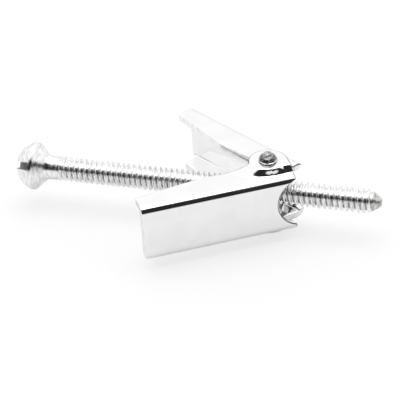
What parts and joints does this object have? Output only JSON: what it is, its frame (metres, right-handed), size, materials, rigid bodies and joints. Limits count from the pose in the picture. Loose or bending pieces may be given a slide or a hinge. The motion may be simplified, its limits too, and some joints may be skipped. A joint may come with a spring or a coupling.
{
  "type": "spring toggle bolt",
  "caption": "Slotted machine screw with a trunnion nut whose two sprung, folded sheet wings open behind a hollow wall to anchor a fixture.",
  "frame": {"origin": "centre of the bearing side of the head's rim, on the screw's axis", "axes": "+X along the screw from its head to its tip, +Z along the wings' pin towards the stub on its upper end, +Y towards the inner wing"},
  "size_m": [0.0535, 0.028, 0.0126],
  "materials": {
    "plated_screw": "bright zinc plate, polished",
    "plated_nut": "zinc plate, worked ends rough",
    "plated_sheet": "bright zinc plate, satin",
    "spring_wire": "drawn spring wire"
  },
  "bodies": {
    "screw": {"screw": "plated_screw"},
    "nut": {"trunnion_nut": "plated_nut", "spring": "spring_wire"},
    "front_wing": {"outer_wing": "plated_sheet"},
    "back_wing": {"inner_wing": "plated_sheet"}
  },
  "joints": [
    {"name": "nut_travel", "type": "slide", "parent": "screw", "child": "nut", "axis": [1, 0, 0], "range_m": [-0.013, 0.0125]},
    {"name": "front_wing_hinge", "type": "hinge", "parent": "nut", "child": "front_wing", "pos_m": [0.0344, 0, 0], "axis": [0, 0, 1], "range_deg": [-27, 7], "stiffness_Nm_per_rad": 0.006, "deforming": ["spring"]},
    {"name": "back_wing_hinge", "type": "hinge", "parent": "nut", "child": "back_wing", "pos_m": [0.0344, 0, 0], "axis": [0, 0, -1], "range_deg": [-27, 7], "stiffness_Nm_per_rad": 0.006, "deforming": ["spring"]}
  ]
}
